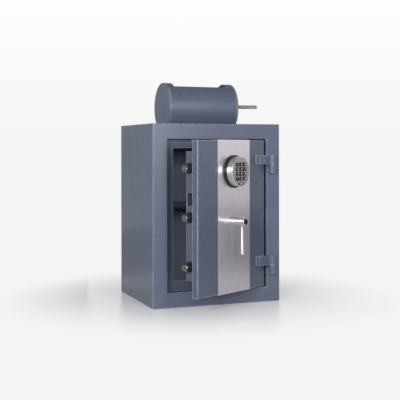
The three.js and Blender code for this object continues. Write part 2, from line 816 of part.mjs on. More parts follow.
// Lock case and the tongue beside the thrown place of the bar
const lockLeft = boxLeft + boxWall + lockInset;
const lockRight = lockLeft + lockWidth;
const lockTop = boxTop - lockFromTop;
const lockBottom = lockTop - lockHeight;
const lockBack = boxFront + lockDepth;
const tongueLeft = barRight - throwLength + tongueClear;
const tongueEnd = lockBack + tongueProud;
const tongueBottom = lockBottom + tongueRise;
piece(door, "lock_body", cut(
  block(lockLeft, lockRight, boxFront, lockBack, lockBottom, lockTop),
  block(tongueLeft - weldGap, tongueLeft + tongueWidth + weldGap, tongueEnd - tongueLength - weldGap,
    lockBack + cutMargin, tongueBottom - weldGap, tongueBottom + tongueHeight + weldGap),
), zinc);
piece(door, "lock_tongue", block(
  tongueLeft, tongueLeft + tongueWidth, tongueEnd - tongueLength, tongueEnd,
  tongueBottom, tongueBottom + tongueHeight,
), brushed);

// Keypad: dark base, metal bezel, face plate with an oval boss, rubber mat, cable
const onBand = weldGap + bandThickness + weldGap;
piece(door, "keypad_base", cut(
  turned([
    [0, onBand],
    [keypadBaseRadius, onBand],
    [keypadBaseRadius, keypadBaseTop - keypadBaseChamfer],
    [keypadBaseRadius - keypadBaseChamfer, keypadBaseTop],
    [0, keypadBaseTop],
  ], keypadX, keypadHeight, roundSegments),
  cableHole,
), blackPlastic);
const bezelFoot = keypadBaseTop + weldGap;
piece(door, "keypad_bezel", turned([
  [bezelInnerRadius, bezelFoot],
  [bezelRadius, bezelFoot],
  [bezelRadius, keypadFaceTop - bezelChamfer],
  [bezelRadius - bezelChamfer, keypadFaceTop],
  [bezelInnerRadius, keypadFaceTop],
  [bezelInnerRadius, bezelFoot],
], keypadX, keypadHeight, roundSegments), brushed);
const keyPlaces = [];
for (let row = 0; row < keyRows; row += 1) {
  for (let column = 0; column < keyColumns; column += 1) {
    keyPlaces.push([
      keypadX + (column - (keyColumns - 1) / 2) * keyPitchAcross,
      keypadHeight + ((keyRows - 1) / 2 - row) * keyPitchDown,
    ]);
  }
}
const faceRadius = bezelInnerRadius - weldGap;
const faceBottom = keypadFaceTop - keypadFaceThickness;
const facePlate = turned([
  [0, faceBottom],
  [faceRadius, faceBottom],
  [faceRadius, keypadFaceTop],
  [0, keypadFaceTop],
], keypadX, keypadHeight, roundSegments);
const ovalOutline = new THREE.Shape();
ovalOutline.absellipse(
  keypadX, keypadHeight - ovalDrop, ovalHalfWidth, ovalHalfHeight, 0, 2 * halfTurn,
);
const ovalGeometry = new THREE.ExtrudeGeometry(ovalOutline, {
  depth: keypadFaceThickness + ovalProud,
  bevelEnabled: false,
  curveSegments: sectorSteps,
});
ovalGeometry.rotateX(quarterTurn).translate(0, doorFace - faceBottom, 0);
const faceReach = barAlongY(
  faceRadius, doorFace - keypadFaceTop - cutMargin, doorFace, keypadX, keypadHeight, roundSegments,
);
const keyHoles = keyPlaces.map(([x, z]) => pad(
  keyHalfWidth + keyGap, keyHalfHeight + keyGap, keyCorner + keyGap,
  faceBottom - cutMargin, keypadFaceTop + cutMargin, x, z,
));
piece(door, "keypad_face", cut(
  joined(facePlate, toSolid(ovalGeometry).intersect(faceReach)), ...keyHoles,
), brushed);
const matRadius = bezelInnerRadius - matSideGap;
const matTop = faceBottom - matFaceGap;
piece(door, "keypad_mat", turned([
  [0, bezelFoot],
  [matRadius, bezelFoot],
  [matRadius, matTop],
  [0, matTop],
], keypadX, keypadHeight, smallSegments), rubber);
piece(door, "keypad_cable", barAlongY(
  cableRadius, doorFace - keypadBaseTop + weldGap, doorBack, keypadX, keypadHeight, cableSegments,
), rubber);
const keyBottom = matTop + keyTravel + keyRestGap;
const keyTop = keypadFaceTop + keyProud;
keyPlaces.forEach(([x, z], index) => {
  piece(door, `key_${index + 1}`, pad(
    keyHalfWidth, keyHalfHeight, keyCorner, keyBottom, keyTop, x, z, keyChamfer,
  ), blackPlastic);
});

// Handle: hub, cap, lever, and the spindle with its pinion
piece(door, "handle_hub", cut(
  turned([
    [0, onBand],
    [hubRadius, onBand],
    [hubRadius, hubTop - hubChamfer],
    [hubRadius - hubChamfer, hubTop],
    [hubRingRadius, hubTop],
    [hubRingRadius, hubRingTop],
    [0, hubRingTop],
  ], handleX, handleHeight, roundSegments),
  barAlongY(spindleRadius + weldGap, doorFace - spindleTop - weldGap, doorFace, handleX, handleHeight),
), polished);
const capBottom = hubRingTop + weldGap;
piece(door, "handle_cap", turned([
  [0, capBottom],
  [capRadius, capBottom],
  [capRadius, capBottom + capHeight],
  [0, capBottom + capHeight],
], handleX, handleHeight, capSides), blackPlastic);
const lever = new THREE.CylinderGeometry(
  leverTopHalfWidth, leverEndHalfWidth, leverLength, leverSegments,
);
lever.scale(1, 1, leverThicknessShare).rotateX(quarterTurn);
lever.applyMatrix4(new THREE.Matrix4().makeShear(0, 0, 0, 0, 0, leverSweep / leverLength));
lever.translate(
  handleX, doorFace - leverTopHeight - leverSweep / 2,
  handleHeight - hubRadius - weldGap - leverLength / 2,
);
piece(door, "handle_lever", toSolid(lever), polished);
const spindleBack = gearBack + weldGap;
piece(door, "handle_spindle", joined(
  barAlongY(spindleRadius, doorFace - spindleTop, spindleBack, handleX, handleHeight),
  alongY(pinionPoints, gearFront, gearBack),
), zinc);

export default safe;
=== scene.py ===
import json
from math import pi, radians

import bpy
from mathutils import Matrix, Vector


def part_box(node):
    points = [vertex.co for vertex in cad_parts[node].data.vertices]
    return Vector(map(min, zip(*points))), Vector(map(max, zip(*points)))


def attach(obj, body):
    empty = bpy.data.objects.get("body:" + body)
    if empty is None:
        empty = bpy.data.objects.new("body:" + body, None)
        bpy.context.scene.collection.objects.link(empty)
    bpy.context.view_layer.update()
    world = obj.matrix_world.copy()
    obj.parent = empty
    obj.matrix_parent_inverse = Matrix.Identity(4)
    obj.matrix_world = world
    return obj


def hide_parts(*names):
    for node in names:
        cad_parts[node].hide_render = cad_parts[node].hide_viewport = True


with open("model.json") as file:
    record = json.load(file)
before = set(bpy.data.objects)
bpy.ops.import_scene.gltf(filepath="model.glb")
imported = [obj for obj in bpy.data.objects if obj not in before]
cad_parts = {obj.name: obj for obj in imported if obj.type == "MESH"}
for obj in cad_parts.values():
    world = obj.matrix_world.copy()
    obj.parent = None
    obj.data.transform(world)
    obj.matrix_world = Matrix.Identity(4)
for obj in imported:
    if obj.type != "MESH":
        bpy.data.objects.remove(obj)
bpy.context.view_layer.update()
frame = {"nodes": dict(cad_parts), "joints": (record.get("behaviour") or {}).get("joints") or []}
scene = bpy.context.scene
scene.view_settings.view_transform = "Standard"


# Camera: it stands to the left of the safe, at the height of the door's top, and looks level.
# The frame is shifted down, which keeps the safe's upright edges upright in the picture.
camera_stand = Vector((-0.8968, -2.3444, 0.433))
camera_turn = radians(21.089)
camera_roll = 0.0014
camera_lens = 77.03
camera_shift = -0.1299
camera_reach = 200

bpy.ops.object.camera_add(
    location=camera_stand, rotation=(pi / 2, camera_roll, -camera_turn)
)
scene.camera = bpy.context.object
scene.camera.name = "camera"
scene.camera.data.lens = camera_lens
scene.camera.data.shift_y = camera_shift
scene.camera.data.clip_end = camera_reach


# Studio floor: one wide sheet of pale satin board. Near the safe it takes the lamps, the shadow
# and a soft reflection; farther off it fades into the pale surrounding, so no horizon shows.
# The light that it throws back on the safe comes from a plain grey board.
floor_half = 60.0
floor_gap = 0.0004
board_colour = (0.92, 0.92, 0.93, 1)
bounce_colour = (0.66, 0.66, 0.68, 1)
board_gloss = 0.28
near_glow = (0.12, 0.12, 0.12, 1)
far_glow = (0.905, 0.905, 0.905, 1)
fade_from, fade_to = 0.17, 0.62


def new_material(name):
    """A new material and its main shader."""
    material = bpy.data.materials.new(name)
    material.use_nodes = True
    return material, material.node_tree.nodes["Principled BSDF"]


def ranged(nodes, links, value, low, high, to_low=0.0, to_high=1.0, kind="LINEAR"):
    """A value moved from one range to another, held at its ends."""
    step = nodes.new("ShaderNodeMapRange")
    step.interpolation_type = kind
    step.inputs["From Min"].default_value = low
    step.inputs["From Max"].default_value = high
    step.inputs["To Min"].default_value = to_low
    step.inputs["To Max"].default_value = to_high
    links.new(value, step.inputs["Value"])
    return step.outputs["Result"]


def shaders_mixed(nodes, links, share, first, second):
    """Two shaders mixed by a share."""
    mix = nodes.new("ShaderNodeMixShader")
    links.new(share, mix.inputs["Fac"])
    links.new(first, mix.inputs[1])
    links.new(second, mix.inputs[2])
    return mix.outputs["Shader"]


def seeing_rays(nodes, links):
    """1 for the rays of the camera, of gloss and through glass, and 0 for all others."""
    ray = nodes.new("ShaderNodeLightPath")
    seeing = ray.outputs["Is Camera Ray"]
    for kind in ("Is Glossy Ray", "Is Transmission Ray"):
        either = nodes.new("ShaderNodeMath")
        either.operation = "MAXIMUM"
        links.new(seeing, either.inputs[0])
        links.new(ray.outputs[kind], either.inputs[1])
        seeing = either.outputs[0]
    return seeing


bpy.ops.object.select_all(action="DESELECT")
bpy.ops.mesh.primitive_plane_add(size=2 * floor_half, location=(0, 0, -floor_gap))
floor = bpy.context.object
floor.name = "studio_floor"
board, board_shader = new_material("studio_board")
nodes, links = board.node_tree.nodes, board.node_tree.links
board_shader.inputs["Base Color"].default_value = board_colour
board_shader.inputs["Roughness"].default_value = board_gloss
board_place = nodes.new("ShaderNodeTexCoord")
board_reach = nodes.new("ShaderNodeVectorMath")
board_reach.operation = "LENGTH"
links.new(board_place.outputs["Object"], board_reach.inputs[0])
board_fade = ranged(
    nodes, links, board_reach.outputs["Value"], fade_from, fade_to, kind="SMOOTHSTEP"
)
glow_near = nodes.new("ShaderNodeEmission")
glow_near.inputs["Color"].default_value = near_glow
glow_far = nodes.new("ShaderNodeEmission")
glow_far.inputs["Color"].default_value = far_glow
board_near = nodes.new("ShaderNodeAddShader")
links.new(board_shader.outputs["BSDF"], board_near.inputs[0])
links.new(glow_near.outputs["Emission"], board_near.inputs[1])
board_seen = shaders_mixed(
    nodes, links, board_fade, board_near.outputs["Shader"], glow_far.outputs["Emission"]
)
board_bounce = nodes.new("ShaderNodeBsdfDiffuse")
board_bounce.inputs["Color"].default_value = bounce_colour
board_whole = shaders_mixed(
    nodes, links, seeing_rays(nodes, links), board_bounce.outputs["BSDF"], board_seen
)
links.new(board_whole, nodes["Material Output"].inputs["Surface"])
floor.data.materials.append(board)


# Studio light: a pale surrounding, almost white above the horizon and grey at the ceiling, that
# camera, metal and gloss see. It lights everything else plainly and evenly.
sky_horizon = (0.905, 0.905, 0.905, 1)
sky_upper = (0.985, 0.985, 0.985, 1)
sky_ceiling = (0.30, 0.30, 0.32, 1)
upper_from, upper_to = 0.0, 0.165
ceiling_from, ceiling_to = 0.32, 0.62
sky_light = (0.80, 0.82, 0.86, 1)
sky_light_strength = 0.15


def blended(nodes, links, share, first, second):
    """Two colours mixed by a share; each is a colour or a socket."""
    mix = nodes.new("ShaderNodeMix")
    mix.data_type = "RGBA"
    links.new(share, mix.inputs[0])
    for slot, colour in ((6, first), (7, second)):
        if isinstance(colour, tuple):
            mix.inputs[slot].default_value = colour
        else:
            links.new(colour, mix.inputs[slot])
    return mix.outputs[2]


world = bpy.data.worlds.new("studio")
scene.world = world
world.use_nodes = True
nodes, links = world.node_tree.nodes, world.node_tree.links
nodes.clear()
sky_place = nodes.new("ShaderNodeTexCoord")
sky_split = nodes.new("ShaderNodeSeparateXYZ")
links.new(sky_place.outputs["Generated"], sky_split.inputs["Vector"])
sky_height = sky_split.outputs["Z"]
upper_share = ranged(nodes, links, sky_height, upper_from, upper_to)
ceiling_share = ranged(nodes, links, sky_height, ceiling_from, ceiling_to)
sky_wall = blended(nodes, links, upper_share, sky_horizon, sky_upper)
sky_whole = blended(nodes, links, ceiling_share, sky_wall, sky_ceiling)
sky_seen = nodes.new("ShaderNodeBackground")
links.new(sky_whole, sky_seen.inputs["Color"])
sky_shine = nodes.new("ShaderNodeBackground")
sky_shine.inputs["Color"].default_value = sky_light
sky_shine.inputs["Strength"].default_value = sky_light_strength
sky_mixed = shaders_mixed(
    nodes, links, seeing_rays(nodes, links),
    sky_shine.outputs["Background"], sky_seen.outputs["Background"],
)
sky_out = nodes.new("ShaderNodeOutputWorld")
links.new(sky_mixed, sky_out.inputs["Surface"])


# Four soft lamps: the main one on the left, a fill above the camera, which reaches in past the
# door, an upright strip in front, whose shine lies along the drum, and a weak one on the right.
# Each has its stand, its aim, its width and height, and its watts.
lamps = {
    "lamp_left": ((-1.60, -1.90, 0.95), (0, 0, 0.35), (0.40, 0.40), 26),
    "lamp_camera": ((-0.96, -2.48, 0.76), (0, 0, 0.30), (0.55, 0.55), 25),
    "lamp_front": ((0.35, -2.40, 0.90), (0, 0, 0.45), (0.22, 1.00), 16),
    "lamp_right": ((2.3, -0.55, 1.0), (0, 0, 0.3), (0.9, 0.9), 3),
}
for lamp_name, (stand, aim, (lamp_width, lamp_height), watts) in lamps.items():
    bpy.ops.object.light_add(type="AREA", location=stand)
    lamp = bpy.context.object
    lamp.name = lamp_name
    lamp.data.shape = "RECTANGLE"
    lamp.data.size = lamp_width
    lamp.data.size_y = lamp_height
    lamp.data.energy = watts
    away = Vector(stand) - Vector(aim)
    lamp.rotation_euler = away.to_track_quat("Z", "Y").to_euler()


# Cards that only mirrors see, for the paint and the bright metal: a low dark one close on the
# right, and on the left a tall paler one far behind the safe with a low one before it. Each has
# its place on the floor, its turn, its width and height, and its glow.
card_grey = (0.12, 0.12, 0.125, 1)
card_glow = (0.90, 0.97, 1.20, 1)
cards = {
    "right": ((0.62, -0.28), pi / 2, (0.56, 0.225), 0.09),
    "left": ((-1.10, 2.00), 0, (1.4, 1.10), 0.45),
    "low": ((-0.52, 0.45), 0, (0.60, 0.155), 0.26),
}
for side, ((card_x, card_y), turn, (card_width, card_height), glow) in cards.items():
    bpy.ops.object.select_all(action="DESELECT")
    bpy.ops.mesh.primitive_plane_add(
        size=1, location=(card_x, card_y, card_height / 2), rotation=(pi / 2, 0, turn)
    )
    card = bpy.context.object
    card.name = f"studio_card_{side}"
    card.scale = (card_width, card_height, 1)
    bpy.ops.object.transform_apply(location=True, rotation=True, scale=True)
    paper, paper_shader = new_material(f"studio_card_{side}")
    paper_shader.inputs["Base Color"].default_value = card_grey
    paper_shader.inputs["Emission Color"].default_value = card_glow
    paper_shader.inputs["Emission Strength"].default_value = glow
    card.data.materials.append(paper)
    card.visible_camera = False
    card.visible_shadow = False


# Safe body: a front frame, walls, roof, floor and back, cut from steel plate, welded and filled
# at the corners, then sprayed slate blue-grey outside. Inside, the plates take a much paler
# shade, which is painted light for the room seen through the door. A plate's face counts as
# inside when a spot just off its middle lies in the room that the plates close in.
plate_rounding = 0.0010
sharp_angle = radians(38)
flat_angle = radians(0.4)
merge_gap = 0.000002
off_face = 0.002
slate = (0.089, 0.106, 0.157, 1)
slate_pale = (0.097, 0.115, 0.168, 1)
# Painted highlight: the pale edge colour stands for wear and also for the shine of light along
# the rounded edges.
slate_worn_and_highlight = (0.36, 0.39, 0.49, 1)
# Painted light: the inside paint is made paler to brighten the room seen through the door.
inner_slate_painted_light = (0.245, 0.285, 0.385, 1)
inner_pale_painted_light = (0.265, 0.308, 0.415, 1)
paint_shine = 0.40
cloud_scale, smear_scale, peel_scale = 9.0, 25.0, 900.0
peel_depth = 0.000015
# The rub is widened and strong so that the pale edges read as painted highlight lines.
paint_rub_and_highlight_radius, paint_rub_and_highlight = 0.0034, 0.9
noise_low, noise_high = 0.3, 0.7
edge_alike, flat_alike = 0.90, 0.995
patch_scale = 60.0
patch_low, patch_high, patch_least = 0.35, 0.6, 0.35
inner_lowest = (
    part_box("wall_left")[1][0],
    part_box("front_frame")[1][1],
    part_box("floor_plate")[1][2],
)
inner_highest = (
    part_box("wall_right")[0][0],
    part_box("back_plate")[0][1],
    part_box("roof_plate")[0][2],
)


def inside_body(spot):
    """Tells whether a spot lies in the room that the plates close in."""
    return all(
        low < part < high for part, low, high in zip(spot, inner_lowest, inner_highest)
    )


def only(piece):
    """Leaves one piece selected and active."""
    bpy.ops.object.select_all(action="DESELECT")
    piece.select_set(True)
    bpy.context.view_layer.objects.active = piece


def rounded(piece, width, segments=3, smooth=40):
    """Rounds a piece's sharp edges and evens the shading of its large faces."""
    only(piece)
    edge = piece.modifiers.new("edge", "BEVEL")
    edge.width = width
    edge.segments = segments
    edge.limit_method = "ANGLE"
    edge.angle_limit = sharp_angle
    bpy.ops.object.modifier_apply(modifier="edge")
    bpy.ops.object.shade_smooth_by_angle(angle=radians(smooth))
    even = piece.modifiers.new("even", "WEIGHTED_NORMAL")
    even.keep_sharp = True
    bpy.ops.object.modifier_apply(modifier="even")


def finished(piece, body, finish):
    """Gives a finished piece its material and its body."""
    piece.data.materials.clear()
    piece.data.materials.append(finish)
    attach(piece, body)


def whole_copy(node, name):
    """A copy of a node whose triangles are merged back into whole faces."""
    piece = bpy.data.objects.new(name, frame["nodes"][node].data.copy())
    scene.collection.objects.link(piece)
    only(piece)
    bpy.ops.object.mode_set(mode="EDIT")
    bpy.ops.mesh.select_all(action="SELECT")
    bpy.ops.mesh.remove_doubles(threshold=merge_gap)
    bpy.ops.mesh.dissolve_limited(angle_limit=flat_angle)
    bpy.ops.object.mode_set(mode="OBJECT")
    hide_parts(node)
    return piece


def dressed(node, coat, rounding, body, finish):
    """A node's own shape with its edges rounded and its finish on."""
    piece = whole_copy(node, f"{node}_{coat}")
    rounded(piece, rounding)
    finished(piece, body, finish)
    return piece


def grain(nodes, links, scale, stretch=(1, 1, 1), detail=3.0):
    """A noise pattern on the piece's own coordinates, drawn out along an axis where wanted."""
    place = nodes.new("ShaderNodeTexCoord")
    mapping = nodes.new("ShaderNodeMapping")
    mapping.inputs["Scale"].default_value = stretch
    links.new(place.outputs["Object"], mapping.inputs["Vector"])
    pattern = nodes.new("ShaderNodeTexNoise")
    pattern.inputs["Scale"].default_value = scale
    pattern.inputs["Detail"].default_value = detail
    links.new(mapping.outputs["Vector"], pattern.inputs["Vector"])
    return pattern.outputs[0]


def spread(nodes, links, pattern, least=0.0, most=1.0):
    """The middle of a noise pattern, where nearly all of it lies, spread over a range."""
    return ranged(nodes, links, pattern, noise_low, noise_high, least, most)


def edge_rub_and_highlight(nodes, links, radius, strength):
    """How far a place is rubbed or given a painted edge highlight: most on edges, broken up, and
    not at all on flat faces.
    """
    soft = nodes.new("ShaderNodeBevel")
    soft.samples = 4
    soft.inputs["Radius"].default_value = radius
    true = nodes.new("ShaderNodeNewGeometry")
    likeness = nodes.new("ShaderNodeVectorMath")
    likeness.operation = "DOT_PRODUCT"
    links.new(soft.outputs["Normal"], likeness.inputs[0])
    links.new(true.outputs["True Normal"], likeness.inputs[1])
    alike = likeness.outputs["Value"]
    rubbed = ranged(nodes, links, alike, flat_alike, edge_alike, 0.0, strength)
    blotches = grain(nodes, links, patch_scale)
    patches = ranged(nodes, links, blotches, patch_low, patch_high, patch_least, 1.0)
    both = nodes.new("ShaderNodeMath")
    both.operation = "MULTIPLY"
    links.new(rubbed, both.inputs[0])
    links.new(patches, both.inputs[1])
    return both.outputs[0]


def bumped(nodes, links, shader, height, distance):
    """A fine relief on the shader."""
    bump = nodes.new("ShaderNodeBump")
    bump.inputs["Strength"].default_value = 1.0
    bump.inputs["Distance"].default_value = distance
    links.new(height, bump.inputs["Height"])
    links.new(bump.outputs["Normal"], shader.inputs["Normal"])


def sprayed_paint(name, colour, pale, worn_and_highlight, gloss):
    """Satin spray paint: cloudy by a shade, with a fine orange peel, and edges paler where
    rubbed, which is also a painted highlight along them.
    """
    material, shader = new_material(name)
    nodes, links = material.node_tree.nodes, material.node_tree.links
    shader.inputs["Specular IOR Level"].default_value = paint_shine
    clouds = spread(nodes, links, grain(nodes, links, cloud_scale))
    tone = blended(nodes, links, clouds, colour, pale)
    rub_and_highlight = edge_rub_and_highlight(nodes, links, paint_rub_and_highlight_radius, paint_rub_and_highlight)
    links.new(blended(nodes, links, rub_and_highlight, tone, worn_and_highlight), shader.inputs["Base Color"])
    smears = spread(nodes, links, grain(nodes, links, smear_scale), *gloss)
    links.new(smears, shader.inputs["Roughness"])
    bumped(nodes, links, shader, grain(nodes, links, peel_scale, detail=2.0), peel_depth)
    return material


slate_paint = sprayed_paint("slate_paint", slate, slate_pale, slate_worn_and_highlight, gloss=(0.27, 0.33))
inner_paint_painted_light = sprayed_paint(
    "inner_paint_painted_light", inner_slate_painted_light, inner_pale_painted_light, slate_worn_and_highlight, gloss=(0.40, 0.50)
)
body_plates = (
    "front_frame", "wall_left", "wall_right", "roof_plate", "floor_plate", "back_plate",
)
for node in body_plates:
    plate = dressed(
        node, "sprayed", plate_rounding, "safe_body", slate_paint
    )
    plate.data.materials.append(inner_paint_painted_light)
    for face_of_plate in plate.data.polygons:
        if inside_body(face_of_plate.center + face_of_plate.normal * off_face):
            face_of_plate.material_index = 1


# Door jamb: a sleeve of folded sheet behind the opening, with an inward lip all round that the
# shut door rests against. Its paint is darker than the body's: painted shade for the recess and
# the hinge gap.
jamb_rounding = 0.0012
jamb_shaded_slate = (0.053, 0.063, 0.094, 1)
jamb_shaded_pale = (0.060, 0.071, 0.104, 1)

jamb_shaded_paint = sprayed_paint("jamb_shaded_paint", jamb_shaded_slate, jamb_shaded_pale, slate_worn_and_highlight, gloss=(0.30, 0.38))
dressed("door_jamb", "sprayed", jamb_rounding, "safe_body", jamb_shaded_paint)


# Strike channel, shelf and its two angles: bent sheet. The channel behind the lip takes the
# three bolts, and is sprayed a darker, flatter shade with the angles. The shelf's top takes the
# paler inside paint, which is painted light, and its front fold, in the gap of the door, is
# painted nearly black as painted shade.
sheet_rounding = 0.0005
square_on = 0.9
inside_dark = (0.078, 0.092, 0.130, 1)
inside_pale = (0.088, 0.103, 0.145, 1)
inside_worn = (0.16, 0.18, 0.22, 1)
# Painted shade: the nearly black coat of the shelf's front fold.
lip_painted_shade = (0.016, 0.018, 0.026, 1)
lip_painted_shade_pale = (0.022, 0.025, 0.034, 1)

shelf_lip_painted_shade = sprayed_paint("shelf_lip_painted_shade", lip_painted_shade, lip_painted_shade_pale, inside_worn, gloss=(0.45, 0.60))
inside_paint = sprayed_paint(
    "inside_paint", inside_dark, inside_pale, inside_worn, gloss=(0.45, 0.60)
)


def sprayed_inside(node, body):
    """A sheet piece in the flat inside paint."""
    return dressed(node, "sprayed", sheet_rounding, body, inside_paint)


sprayed_inside("strike_channel", "safe_body")
shelf = dressed("shelf", "sprayed", sheet_rounding, "safe_body", inner_paint_painted_light)
shelf.data.materials.append(shelf_lip_painted_shade)
# Painted shade: the shelf's front fold takes the nearly black coat.
for fold in shelf.data.polygons:
    if fold.normal.y < -square_on:
        fold.material_index = 1
sprayed_inside("shelf_bracket_left", "safe_body")
sprayed_inside("shelf_bracket_right", "safe_body")


# Baffles: two toothed plates that slope down under the roof, one on each side of the drum, so
# that nobody can fish through the slot. They are welded to the roof and sprayed inside.
for node in ("baffle_front", "baffle_rear"):
    sprayed_inside(node, "safe_body")


# Deposit drum housing: a steel tube let into the roof, with a window on top for the deposit and
# a chute below, closed by a thick disc at each end and sprayed with the body.
for node in ("drum_housing", "drum_end_left", "drum_end_right"):
    dressed(node, "sprayed", plate_rounding, "safe_body", slate_paint)


# Welds of the drum: rippled beads along both sides of the tube and across both end discs, where
# the drum stands in its slot in the roof, at a share of its radius from its middle. They are
# painted over.
bead_radius = 0.0017
bead_step = 0.0024
bead_ripple = 0.88
bead_end_share = 0.4
roof_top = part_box("roof_plate")[1][2]
drum_low, drum_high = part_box("drum_housing")
drum_radius = (drum_high[2] - drum_low[2]) / 2
drum_middle_y = (drum_low[1] + drum_high[1]) / 2
drum_half_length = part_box("drum_end_right")[1][0]
drum_side_share = 0.701
join_gap = 0.00001


def drawn_out(rings):
    """Draws the selected first ring out through the others: each is a size and a middle."""
    size, middle = rings[0]
    for new_size, new_middle in rings[1:]:
        bpy.ops.mesh.extrude_region_move(
            TRANSFORM_OT_translate={"value": tuple(new_middle - middle)}
        )
        growth = new_size / size
        bpy.ops.transform.resize(value=(growth, growth, 1), center_override=new_middle)
        size, middle = new_size, new_middle


def turned(name, steps, vertices=48, bored=False):
    """A turned piece along z, drawn out ring by ring: each step is a radius and a height.
    A bored piece has a hole right through, and its last ring closes on its first."""
    rings = [(radius, Vector((0, 0, height))) for radius, height in steps]
    if bored:
        rings.append(rings[0])
    bpy.ops.object.select_all(action="DESELECT")
    bpy.ops.mesh.primitive_circle_add(
        vertices=vertices, radius=rings[0][0], fill_type="NOTHING" if bored else "NGON",
        location=rings[0][1],
    )
    piece = bpy.context.object
    piece.name = name
    bpy.ops.object.transform_apply(location=True, rotation=True, scale=True)
    bpy.ops.object.mode_set(mode="EDIT")
    bpy.ops.mesh.select_all(action="SELECT")
    drawn_out(rings)
    bpy.ops.mesh.select_all(action="SELECT")
    bpy.ops.mesh.remove_doubles(threshold=join_gap)
    bpy.ops.mesh.normals_make_consistent(inside=False)
    bpy.ops.object.mode_set(mode="OBJECT")
    return piece


def smoothed(piece, angle):
    """Shades a piece smooth, but for edges sharper than the angle in degrees."""
    only(piece)
    bpy.ops.object.shade_smooth_by_angle(angle=radians(angle))


def seated(piece, place):
    """Moves a piece from where it was modelled to its place on the safe, in its mesh."""
    only(piece)
    bpy.ops.object.transform_apply(location=True, rotation=True, scale=True)
    piece.matrix_world = place
    bpy.ops.object.transform_apply(location=True, rotation=True, scale=True)


def weld_bead(name, length, place, body):
    """A weld bead along z: a thin bar whose rings swell and shrink as the bead was laid."""
    count = max(2, int(length / bead_step))
    rings = [(bead_radius * bead_end_share, 0.0)]
    for ring in range(1, count):
        swell = 1 if ring % 2 else bead_ripple
        rings.append((bead_radius * swell, length * ring / count))
    rings.append((bead_radius * bead_end_share, length))
    bead = turned(name, rings, vertices=12)
    smoothed(bead, 50)
    seated(bead, place)
    finished(bead, body, slate_paint)


along_x = Matrix.Rotation(pi / 2, 4, "Y")
along_y = Matrix.Rotation(-pi / 2, 4, "X")
drum_side = drum_radius * drum_side_share
for name, side in (("front", -1), ("rear", 1)):
    start = Matrix.Translation((-drum_half_length, drum_middle_y + side * drum_side, roof_top))
    weld_bead(f"drum_weld_{name}", 2 * drum_half_length, start @ along_x, "safe_body")
for name, side in (("left", -1), ("right", 1)):
    start = Matrix.Translation((side * drum_half_length, drum_middle_y - drum_side, roof_top))
    weld_bead(f"drum_weld_{name}", 2 * drum_side, start @ along_y, "safe_body")


# Drum rotor: a shell with a trough across it, between two discs, that carries the deposit from
# the window to the chute. It is sprayed inside, and its stub turns in the left end disc.
stub_rounding = 0.0003

for node in ("drum_rotor", "rotor_disc_left", "rotor_disc_right"):
    sprayed_inside(node, "deposit_drum")
dressed("drum_stub", "sprayed", stub_rounding, "deposit_drum", inside_paint)


# Drum rod: a plain steel bar that sticks out of the right end disc to turn the drum by hand. It
# is oiled and dull, and its tip is rounded: each ring of the tip stands in from the side and
# back from the end. A flanged bush of zinc-plated steel guides it.
rod_low, rod_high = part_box("drum_rod")
rod_radius = (rod_high[2] - rod_low[2]) / 2
rod_length = rod_high[0] - rod_low[0]
rod_start = Vector((
    rod_low[0], (rod_low[1] + rod_high[1]) / 2, (rod_low[2] + rod_high[2]) / 2,
))
rod_tip = ((0, 0.0025), (0.0004, 0.0012), (0.0012, 0.0003), (0.0022, 0))
turned_rounding = 0.0003
bush_rounding = 0.0004
rod_steel_dark = (0.29, 0.285, 0.29, 1)
rod_steel_pale = (0.35, 0.345, 0.35, 1)
zinc_dark = (0.46, 0.46, 0.44, 1)
zinc_pale = (0.58, 0.58, 0.56, 1)
metal_rubbed = (0.85, 0.85, 0.85, 1)
metal_rub_radius = 0.0008


def bare_metal(name, colour, pale, gloss, scale, depth, rubbed, stretch=(1, 1, 1), metallic=1.0):
    """Bare metal: one grain in its colour, gloss and relief, brighter where edges are rubbed."""
    material, shader = new_material(name)
    nodes, links = material.node_tree.nodes, material.node_tree.links
    shader.inputs["Metallic"].default_value = metallic
    streaks = grain(nodes, links, scale, stretch)
    tone = blended(nodes, links, spread(nodes, links, streaks), colour, pale)
    rub_and_highlight = edge_rub_and_highlight(nodes, links, metal_rub_radius, rubbed)
    links.new(blended(nodes, links, rub_and_highlight, tone, metal_rubbed), shader.inputs["Base Color"])
    links.new(spread(nodes, links, streaks, *gloss), shader.inputs["Roughness"])
    bumped(nodes, links, shader, streaks, depth)
    return material


def fitted(piece, node, place, body, finish):
    """Seats a modelled piece in place of its node, with its finish on."""
    seated(piece, place)
    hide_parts(node)
    finished(piece, body, finish)


rod_steel = bare_metal(
    "rod_steel", rod_steel_dark, rod_steel_pale, gloss=(0.30, 0.42), scale=400.0,
    depth=0.00001, rubbed=0.3, stretch=(0.1, 1, 1),
)
zinc_plate = bare_metal(
    "zinc_plate", zinc_dark, zinc_pale, gloss=(0.25, 0.40), scale=90.0,
    depth=0.00002, rubbed=0.3,
)
rod_steps = [(rod_radius - inward, rod_length - back) for inward, back in rod_tip]
rod = turned("drum_rod_turned", [(rod_radius, 0)] + rod_steps, vertices=40)
rounded(rod, turned_rounding)
rod_place = Matrix.Translation(rod_start) @ along_x
fitted(rod, "drum_rod", rod_place, "deposit_drum", rod_steel)
dressed("drum_bush", "plated", bush_rounding, "safe_body", zinc_plate)


# Hinge knuckles: round steel blocks on a narrow foot, welded to the front frame down both edges
# of the foot, with a plated pin that the door's arm drops over.
foot_half_width = 0.0066
foot_sunk = 0.0003

for side in ("lower", "upper"):
    node = f"hinge_knuckle_{side}"
    low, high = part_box(node)
    dressed(node, "sprayed", plate_rounding, "safe_body", slate_paint)
    foot = Vector(((low[0] + high[0]) / 2, high[1] - foot_sunk, low[2]))
    for hand, reach in (("left", -foot_half_width), ("right", foot_half_width)):
        weld_bead(
            f"knuckle_weld_{side}_{hand}", high[2] - low[2],
            Matrix.Translation(foot + Vector((reach, 0, 0))), "safe_body",
        )
for node in ("hinge_pin_lower", "hinge_pin_upper"):
    dressed(node, "plated", turned_rounding, "safe_body", zinc_plate)


